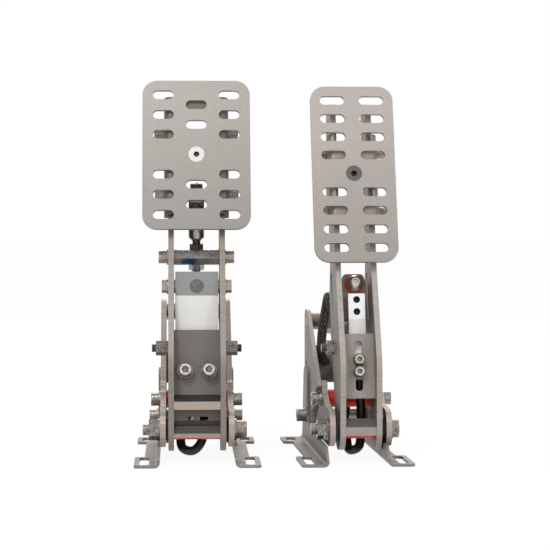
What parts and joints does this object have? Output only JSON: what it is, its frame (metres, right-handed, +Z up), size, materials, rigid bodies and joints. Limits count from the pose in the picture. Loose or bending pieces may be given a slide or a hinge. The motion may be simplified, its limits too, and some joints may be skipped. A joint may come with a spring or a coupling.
{
  "type": "sim racing pedal set",
  "caption": "Sim racing brake and throttle modules in laser-cut stainless sheet, with slotted faces on hinged twin-plate arms, load cells, and spring rods sliding in trunnions",
  "frame": {"origin": "middle of the set's footprint on the floor, at the feet's underside", "axes": "+X right, +Y away from the driver, +Z up; the driver's foot pushes the faces towards +Y"},
  "size_m": [0.1973, 0.1877, 0.274],
  "materials": {
    "stainless": "satin, bead-blasted look",
    "bright_steel": "bright zinc and polished steel",
    "red_anodised": "anodised, satin",
    "aluminium": "machined, clear anodised",
    "potting": "matt poured compound",
    "black_plastic": "matt",
    "cable_jacket": "smooth jacket",
    "braided_sleeve": "woven sleeve",
    "rubber": "matt",
    "black_oxide": "black oxide"
  },
  "bodies": {
    "base": {"pivot_bolts": "bright_steel", "pivot_tubes": "red_anodised", "stop_bars": "red_anodised", "rear_bars": "bright_steel", "base_screws": "bright_steel", "lead_sockets": "black_plastic", "rear_plates": "stainless", "brake_bracket_left": "stainless", "brake_bracket_right": "stainless", "brake_pivot_plate_left": "stainless", "brake_pivot_plate_right": "stainless", "brake_lead": "cable_jacket", "throttle_bracket_left": "stainless", "throttle_bracket_right": "stainless", "throttle_pivot_plate_left": "stainless", "throttle_pivot_plate_right": "stainless", "throttle_tower_left": "stainless", "throttle_lead": "cable_jacket", "throttle_sleeved_lead": "braided_sleeve"},
    "brake_arm": {"brake_arm_left": "stainless", "brake_arm_right": "stainless", "brake_arm_bushes": "black_plastic", "brake_front_plate": "stainless", "brake_cross_bars": "stainless", "brake_load_cell": "aluminium", "brake_cell_potting": "potting", "brake_cell_screws": "bright_steel", "brake_side_screws": "bright_steel", "brake_rod_end": "bright_steel", "brake_angle_bar": "stainless", "brake_angle_link": "bright_steel", "brake_face_bracket": "stainless", "brake_face_plate": "stainless", "brake_face_screw": "bright_steel", "brake_face_bolts": "bright_steel"},
    "brake_rod": {"brake_rod": "bright_steel", "brake_fork_pin": "bright_steel", "brake_rubbers": "rubber", "brake_rod_nuts": "bright_steel"},
    "brake_knob": {"brake_preload_knob": "red_anodised"},
    "brake_trunnion": {"brake_trunnion": "stainless"},
    "throttle_arm": {"throttle_arm_left": "stainless", "throttle_arm_right": "stainless", "throttle_arm_bushes": "black_plastic", "throttle_front_plate": "stainless", "throttle_cross_bar": "stainless", "throttle_load_cell": "aluminium", "throttle_cell_potting": "potting", "throttle_cell_screws": "bright_steel", "throttle_rod_bracket": "stainless", "throttle_seat_ring": "red_anodised", "throttle_face_bracket": "stainless", "throttle_face_plate": "stainless", "throttle_face_screw": "black_oxide", "throttle_face_bolts": "bright_steel"},
    "throttle_rod": {"throttle_rod": "bright_steel", "throttle_spring": "bright_steel", "throttle_rod_nuts": "bright_steel"},
    "throttle_knob": {"throttle_preload_knob": "red_anodised"},
    "throttle_trunnion": {"throttle_trunnion": "stainless"}
  },
  "joints": [
    {"name": "brake_arm_hinge", "type": "hinge", "parent": "base", "child": "brake_arm", "pos_m": [-0.0541, -0.055, 0.023], "axis": [-1, 0, 0], "range_deg": [0, 5], "stiffness_Nm_per_rad": 200, "springref_deg": -1.15, "deforming": ["brake_rubbers", "brake_lead"]},
    {"name": "brake_rod_hinge", "type": "hinge", "parent": "brake_arm", "child": "brake_rod", "pos_m": [-0.0541, -0.00592, 0.11756], "axis": [1, 0, 0], "range_deg": [0, 8]},
    {"name": "brake_trunnion_hinge", "type": "hinge", "parent": "base", "child": "brake_trunnion", "pos_m": [-0.0541, 0.067, 0.101], "axis": [1, 0, 0], "range_deg": [0, 3]},
    {"name": "brake_knob_turn", "type": "hinge", "parent": "brake_rod", "child": "brake_knob", "pos_m": [-0.0541, 0.01359, 0.11313], "axis": [0, 0.9752, -0.2215], "range_deg": [-180, 180]},
    {"name": "throttle_arm_hinge", "type": "hinge", "parent": "base", "child": "throttle_arm", "pos_m": [0.06174, -0.05404, 0.023], "axis": [-0.999, -0.0436, 0], "range_deg": [0, 15], "stiffness_Nm_per_rad": 16, "springref_deg": -5.73, "deforming": ["throttle_spring", "throttle_lead", "throttle_sleeved_lead"]},
    {"name": "throttle_rod_hinge", "type": "hinge", "parent": "throttle_arm", "child": "throttle_rod", "pos_m": [0.0607, -0.03023, 0.1262], "axis": [0.999, 0.0436, 0], "range_deg": [0, 16]},
    {"name": "throttle_trunnion_hinge", "type": "hinge", "parent": "base", "child": "throttle_trunnion", "pos_m": [0.05633, 0.06985, 0.093], "axis": [0.999, 0.0436, 0], "range_deg": [-1, 1]},
    {"name": "throttle_knob_turn", "type": "hinge", "parent": "throttle_rod", "child": "throttle_knob", "pos_m": [0.06004, -0.01506, 0.12117], "axis": [-0.0414, 0.9483, -0.3146], "range_deg": [-180, 180]}
  ],
  "couplings": [
    {"joint": "brake_rod_hinge", "follows": "brake_arm_hinge", "ratio": 1.454},
    {"joint": "brake_trunnion_hinge", "follows": "brake_arm_hinge", "ratio": 0.454},
    {"joint": "throttle_rod_hinge", "follows": "throttle_arm_hinge", "ratio": 1.0195},
    {"joint": "throttle_trunnion_hinge", "follows": "throttle_arm_hinge", "ratio": 0.0195}
  ]
}
